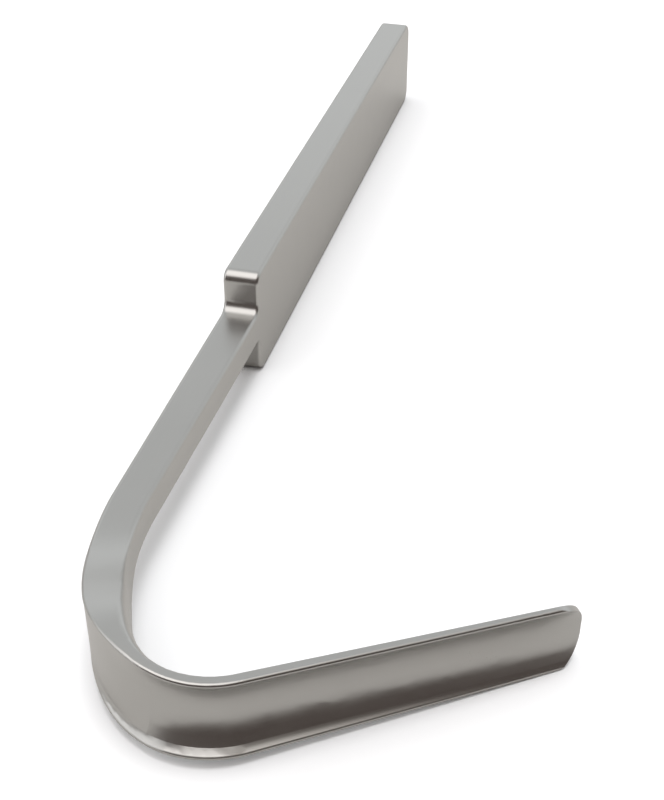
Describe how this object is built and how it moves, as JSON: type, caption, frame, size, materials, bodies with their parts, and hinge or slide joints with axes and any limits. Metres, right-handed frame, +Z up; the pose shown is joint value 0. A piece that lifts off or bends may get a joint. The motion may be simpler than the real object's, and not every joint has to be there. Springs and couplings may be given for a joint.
{
  "type": "surgical retractor",
  "caption": "Handheld surgical retractor: flat plate handle, square shank and a smooth hooked blade, hollowed along its outer side, with rounded tip corners.",
  "frame": {"origin": "middle of the handle's lower narrow side, on which the retractor rests", "axes": "+Z up from the resting side, +Y along the handle away from the blade, +X the way the blade hooks"},
  "size_m": [0.0696, 0.2185, 0.02],
  "materials": {
    "steel": "satin stainless steel, finely brushed along its length"
  },
  "bodies": {
    "root": {"retractor": "steel"}
  },
  "joints": []
}
